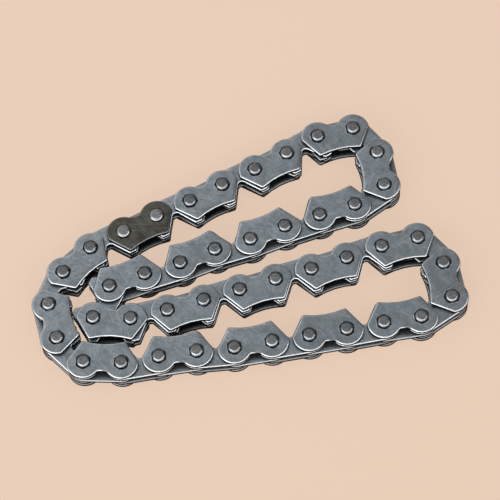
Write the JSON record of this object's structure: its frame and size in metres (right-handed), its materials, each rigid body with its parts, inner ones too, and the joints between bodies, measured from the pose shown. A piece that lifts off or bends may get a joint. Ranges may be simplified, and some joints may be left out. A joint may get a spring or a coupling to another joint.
{
  "type": "oil pump chain",
  "caption": "Endless inverted tooth chain for driving an oil pump, lying folded on its side, with riveted pins and one dark joining link.",
  "frame": {"origin": "centre of the folded chain's outline, on the plane that the lower pin ends rest on", "axes": "+X along the longer side of the folded chain, +Z along the pins, upwards"},
  "size_m": [0.0738, 0.0466, 0.0052],
  "materials": {
    "link_steel": "tumbled, satin",
    "rivet_steel": "bright, headed",
    "black_oxide_steel": "dark oxide, satin"
  },
  "bodies": {
    "guide_link_01": {"guide_link_01": "link_steel"},
    "inner_link_01": {"inner_link_01": "link_steel"},
    "master_link": {"master_guide_plate_top": "black_oxide_steel", "master_guide_plate_bottom": "link_steel", "master_toothed_plate": "link_steel", "master_pins": "rivet_steel"},
    "inner_link_02": {"inner_link_02": "link_steel"},
    "guide_link_03": {"guide_link_03": "link_steel"},
    "inner_link_03": {"inner_link_03": "link_steel"},
    "guide_link_04": {"guide_link_04": "link_steel"},
    "inner_link_04": {"inner_link_04": "link_steel"},
    "guide_link_05": {"guide_link_05": "link_steel"},
    "inner_link_05": {"inner_link_05": "link_steel"},
    "guide_link_06": {"guide_link_06": "link_steel"},
    "inner_link_06": {"inner_link_06": "link_steel"},
    "guide_link_07": {"guide_link_07": "link_steel"},
    "inner_link_07": {"inner_link_07": "link_steel"},
    "guide_link_08": {"guide_link_08": "link_steel"},
    "inner_link_08": {"inner_link_08": "link_steel"},
    "guide_link_09": {"guide_link_09": "link_steel"},
    "inner_link_09": {"inner_link_09": "link_steel"},
    "guide_link_10": {"guide_link_10": "link_steel"},
    "inner_link_10": {"inner_link_10": "link_steel"},
    "guide_link_11": {"guide_link_11": "link_steel"},
    "inner_link_11": {"inner_link_11": "link_steel"},
    "guide_link_12": {"guide_link_12": "link_steel"},
    "inner_link_12": {"inner_link_12": "link_steel"},
    "guide_link_13": {"guide_link_13": "link_steel"},
    "inner_link_13": {"inner_link_13": "link_steel"},
    "guide_link_14": {"guide_link_14": "link_steel"},
    "inner_link_14": {"inner_link_14": "link_steel"},
    "guide_link_15": {"guide_link_15": "link_steel"},
    "inner_link_15": {"inner_link_15": "link_steel"},
    "guide_link_16": {"guide_link_16": "link_steel"},
    "inner_link_16": {"inner_link_16": "link_steel"},
    "guide_link_17": {"guide_link_17": "link_steel"},
    "inner_link_17": {"inner_link_17": "link_steel"},
    "guide_link_18": {"guide_link_18": "link_steel"},
    "inner_link_18": {"inner_link_18": "link_steel"},
    "guide_link_19": {"guide_link_19": "link_steel"},
    "inner_link_19": {"inner_link_19": "link_steel"},
    "guide_link_20": {"guide_link_20": "link_steel"},
    "inner_link_20": {"inner_link_20": "link_steel"},
    "guide_link_21": {"guide_link_21": "link_steel"},
    "inner_link_21": {"inner_link_21": "link_steel"},
    "guide_link_22": {"guide_link_22": "link_steel"},
    "inner_link_22": {"inner_link_22": "link_steel"}
  },
  "joints": [
    {"name": "pivot_36", "type": "hinge", "parent": "guide_link_18", "child": "inner_link_18", "pos_m": [0.00954, -0.01801, 0.0026], "axis": [0, 0, 1], "range_deg": [-9.6, 9.6]},
    {"name": "pivot_37", "type": "hinge", "parent": "inner_link_18", "child": "guide_link_19", "pos_m": [0.00322, -0.01861, 0.0026], "axis": [0, 0, 1], "range_deg": [-8.89, 8.89]},
    {"name": "pivot_38", "type": "hinge", "parent": "guide_link_19", "child": "inner_link_19", "pos_m": [-0.0031, -0.01922, 0.0026], "axis": [0, 0, 1], "range_deg": [-9.63, 9.63]},
    {"name": "pivot_39", "type": "hinge", "parent": "inner_link_19", "child": "guide_link_20", "pos_m": [-0.00945, -0.01933, 0.0026], "axis": [0, 0, 1], "range_deg": [-8.57, 7.72]},
    {"name": "pivot_40", "type": "hinge", "parent": "guide_link_20", "child": "inner_link_20", "pos_m": [-0.01579, -0.01978, 0.0026], "axis": [0, 0, 1], "range_deg": [-8.6, 9.55]},
    {"name": "pivot_41", "type": "hinge", "parent": "inner_link_20", "child": "guide_link_21", "pos_m": [-0.02211, -0.02039, 0.0026], "axis": [0, 0, 1], "range_deg": [-10.01, 1.01]},
    {"name": "pivot_42", "type": "hinge", "parent": "guide_link_21", "child": "inner_link_21", "pos_m": [-0.02842, -0.01972, 0.0026], "axis": [0, 0, 1], "range_deg": [-1, 10]},
    {"name": "pivot_43", "type": "hinge", "parent": "inner_link_21", "child": "guide_link_22", "pos_m": [-0.03271, -0.01504, 0.0026], "axis": [0, 0, 1], "range_deg": [-5, 3]},
    {"name": "pivot_44", "type": "hinge", "parent": "guide_link_22", "child": "inner_link_22", "pos_m": [-0.03397, -0.00882, 0.0026], "axis": [0, 0, 1], "range_deg": [-2.99, 4.97]},
    {"name": "pivot_01", "type": "hinge", "parent": "inner_link_22", "child": "guide_link_01", "pos_m": [-0.0313, -0.00305, 0.0026], "axis": [0, 0, 1], "range_deg": [-0.92, 7.29]},
    {"name": "pivot_02", "type": "hinge", "parent": "guide_link_01", "child": "inner_link_01", "pos_m": [-0.02651, 0.00111, 0.0026], "axis": [0, 0, 1], "range_deg": [-8, 1]},
    {"name": "pivot_03", "type": "hinge", "parent": "inner_link_01", "child": "master_link", "pos_m": [-0.02071, 0.0037, 0.0026], "axis": [0, 0, -1], "range_deg": [-6, 9]},
    {"name": "pivot_04", "type": "hinge", "parent": "master_link", "child": "inner_link_02", "pos_m": [-0.01491, 0.00628, 0.0026], "axis": [0, 0, 1], "range_deg": [-5.5, 8.24]},
    {"name": "pivot_05", "type": "hinge", "parent": "inner_link_02", "child": "guide_link_03", "pos_m": [-0.009, 0.00861, 0.0026], "axis": [0, 0, 1], "range_deg": [-10, 10]},
    {"name": "pivot_06", "type": "hinge", "parent": "guide_link_03", "child": "inner_link_03", "pos_m": [-0.00325, 0.01129, 0.0026], "axis": [0, 0, 1], "range_deg": [-9.36, 9.36]},
    {"name": "pivot_07", "type": "hinge", "parent": "inner_link_03", "child": "guide_link_04", "pos_m": [0.0026, 0.01377, 0.0026], "axis": [0, 0, 1], "range_deg": [-10, 10]},
    {"name": "pivot_08", "type": "hinge", "parent": "guide_link_04", "child": "inner_link_04", "pos_m": [0.00835, 0.01646, 0.0026], "axis": [0, 0, 1], "range_deg": [-9.41, 9.41]},
    {"name": "pivot_09", "type": "hinge", "parent": "inner_link_04", "child": "guide_link_05", "pos_m": [0.01401, 0.01934, 0.0026], "axis": [0, 0, 1], "range_deg": [-9.71, 7.77]},
    {"name": "pivot_10", "type": "hinge", "parent": "guide_link_05", "child": "inner_link_05", "pos_m": [0.02027, 0.02039, 0.0026], "axis": [0, 0, 1], "range_deg": [-8, 10]},
    {"name": "pivot_11", "type": "hinge", "parent": "inner_link_05", "child": "guide_link_06", "pos_m": [0.02405, 0.01528, 0.0026], "axis": [0, 0, 1], "range_deg": [-0.5, 3.91]},
    {"name": "pivot_12", "type": "hinge", "parent": "guide_link_06", "child": "inner_link_06", "pos_m": [0.02466, 0.00896, 0.0026], "axis": [0, 0, 1], "range_deg": [-3.18, 0.41]},
    {"name": "pivot_35", "type": "hinge", "parent": "guide_link_18", "child": "inner_link_17", "pos_m": [0.01586, -0.0174, 0.0026], "axis": [0, 0, 1], "range_deg": [-8.83, 8.83]},
    {"name": "pivot_34", "type": "hinge", "parent": "inner_link_17", "child": "guide_link_17", "pos_m": [0.02217, -0.01668, 0.0026], "axis": [0, 0, 1], "range_deg": [-7.87, 5.91]},
    {"name": "pivot_33", "type": "hinge", "parent": "guide_link_17", "child": "inner_link_16", "pos_m": [0.0285, -0.01618, 0.0026], "axis": [0, 0, 1], "range_deg": [-5.65, 7.53]},
    {"name": "pivot_32", "type": "hinge", "parent": "inner_link_16", "child": "guide_link_16", "pos_m": [0.03397, -0.01296, 0.0026], "axis": [0, 0, 1], "range_deg": [-4.96, 2.98]},
    {"name": "pivot_31", "type": "hinge", "parent": "guide_link_16", "child": "inner_link_15", "pos_m": [0.03325, -0.00665, 0.0026], "axis": [0, 0, 1], "range_deg": [-2.96, 4.92]},
    {"name": "pivot_30", "type": "hinge", "parent": "inner_link_15", "child": "guide_link_15", "pos_m": [0.02939, -0.00161, 0.0026], "axis": [0, 0, 1], "range_deg": [-7.68, 5.76]},
    {"name": "pivot_29", "type": "hinge", "parent": "guide_link_15", "child": "inner_link_14", "pos_m": [0.02313, -0.00271, 0.0026], "axis": [0, 0, -1], "range_deg": [-8, 6]},
    {"name": "pivot_28", "type": "hinge", "parent": "inner_link_14", "child": "guide_link_14", "pos_m": [0.017, -0.00436, 0.0026], "axis": [0, 0, 1], "range_deg": [-9.24, 9.24]},
    {"name": "pivot_27", "type": "hinge", "parent": "guide_link_14", "child": "inner_link_13", "pos_m": [0.01085, -0.00595, 0.0026], "axis": [0, 0, -1], "range_deg": [-10, 10]},
    {"name": "pivot_26", "type": "hinge", "parent": "inner_link_13", "child": "guide_link_13", "pos_m": [0.00465, -0.00732, 0.0026], "axis": [0, 0, 1], "range_deg": [-9.27, 9.27]},
    {"name": "pivot_25", "type": "hinge", "parent": "guide_link_13", "child": "inner_link_12", "pos_m": [-0.00154, -0.00875, 0.0026], "axis": [0, 0, -1], "range_deg": [-10, 10]},
    {"name": "pivot_24", "type": "hinge", "parent": "inner_link_12", "child": "guide_link_12", "pos_m": [-0.00772, -0.01018, 0.0026], "axis": [0, 0, 1], "range_deg": [-9.03, 8.13]},
    {"name": "pivot_23", "type": "hinge", "parent": "guide_link_12", "child": "inner_link_11", "pos_m": [-0.01393, -0.0115, 0.0026], "axis": [0, 0, -1], "range_deg": [-10, 9]},
    {"name": "pivot_22", "type": "hinge", "parent": "inner_link_11", "child": "guide_link_11", "pos_m": [-0.0202, -0.01255, 0.0026], "axis": [0, 0, 1], "range_deg": [-10.01, 1.01]},
    {"name": "pivot_21", "type": "hinge", "parent": "guide_link_11", "child": "inner_link_10", "pos_m": [-0.02651, -0.01188, 0.0026], "axis": [0, 0, 1], "range_deg": [-1.01, 10.01]},
    {"name": "pivot_20", "type": "hinge", "parent": "inner_link_10", "child": "guide_link_10", "pos_m": [-0.02353, -0.00628, 0.0026], "axis": [0, 0, 1], "range_deg": [-8.27, 5.52]},
    {"name": "pivot_19", "type": "hinge", "parent": "guide_link_10", "child": "inner_link_09", "pos_m": [-0.01744, -0.00447, 0.0026], "axis": [0, 0, 1], "range_deg": [-5, 7.49]},
    {"name": "pivot_18", "type": "hinge", "parent": "inner_link_09", "child": "guide_link_09", "pos_m": [-0.01128, -0.00294, 0.0026], "axis": [0, 0, 1], "range_deg": [-9.35, 9.35]},
    {"name": "pivot_17", "type": "hinge", "parent": "guide_link_09", "child": "inner_link_08", "pos_m": [-0.00526, -0.00092, 0.0026], "axis": [0, 0, 1], "range_deg": [-8.7, 8.7]},
    {"name": "pivot_16", "type": "hinge", "parent": "inner_link_08", "child": "guide_link_08", "pos_m": [0.00093, 0.00051, 0.0026], "axis": [0, 0, 1], "range_deg": [-9.41, 9.41]},
    {"name": "pivot_15", "type": "hinge", "parent": "guide_link_08", "child": "inner_link_07", "pos_m": [0.00697, 0.00247, 0.0026], "axis": [0, 0, 1], "range_deg": [-8.81, 8.81]},
    {"name": "pivot_14", "type": "hinge", "parent": "inner_link_07", "child": "guide_link_07", "pos_m": [0.0131, 0.00411, 0.0026], "axis": [0, 0, 1], "range_deg": [-9.9, 7.92]}
  ],
  "couplings": [
    {"joint": "pivot_36", "follows": "pivot_27", "ratio": -0.95871},
    {"joint": "pivot_37", "follows": "pivot_25", "ratio": 0.88731},
    {"joint": "pivot_38", "follows": "pivot_25", "ratio": -0.96195},
    {"joint": "pivot_39", "follows": "pivot_23", "ratio": 0.85573},
    {"joint": "pivot_40", "follows": "pivot_23", "ratio": -0.95377},
    {"joint": "pivot_41", "follows": "pivot_42", "ratio": -1},
    {"joint": "pivot_44", "follows": "pivot_43", "ratio": -0.99188},
    {"joint": "pivot_01", "follows": "pivot_02", "ratio": -0.90908},
    {"joint": "pivot_04", "follows": "pivot_03", "ratio": 0.91357},
    {"joint": "pivot_06", "follows": "pivot_05", "ratio": -0.9343},
    {"joint": "pivot_08", "follows": "pivot_07", "ratio": -0.93988},
    {"joint": "pivot_09", "follows": "pivot_10", "ratio": -0.96964},
    {"joint": "pivot_11", "follows": "pivot_02", "ratio": -0.48629},
    {"joint": "pivot_12", "follows": "pivot_02", "ratio": 0.39537},
    {"joint": "pivot_35", "follows": "pivot_27", "ratio": -0.88154},
    {"joint": "pivot_34", "follows": "pivot_29", "ratio": 0.98195},
    {"joint": "pivot_33", "follows": "pivot_29", "ratio": -0.93985},
    {"joint": "pivot_32", "follows": "pivot_43", "ratio": 0.98934},
    {"joint": "pivot_31", "follows": "pivot_43", "ratio": -0.98122},
    {"joint": "pivot_30", "follows": "pivot_29", "ratio": 0.9579},
    {"joint": "pivot_28", "follows": "pivot_27", "ratio": 0.92282},
    {"joint": "pivot_26", "follows": "pivot_25", "ratio": 0.92536},
    {"joint": "pivot_24", "follows": "pivot_23", "ratio": 0.90195},
    {"joint": "pivot_22", "follows": "pivot_42", "ratio": -1},
    {"joint": "pivot_21", "follows": "pivot_42", "ratio": 1},
    {"joint": "pivot_20", "follows": "pivot_03", "ratio": -0.91682},
    {"joint": "pivot_19", "follows": "pivot_03", "ratio": 0.83039},
    {"joint": "pivot_18", "follows": "pivot_05", "ratio": 0.93373},
    {"joint": "pivot_17", "follows": "pivot_05", "ratio": -0.86803},
    {"joint": "pivot_16", "follows": "pivot_07", "ratio": 0.93914},
    {"joint": "pivot_15", "follows": "pivot_07", "ratio": -0.87902},
    {"joint": "pivot_14", "follows": "pivot_10", "ratio": -0.98843}
  ]
}
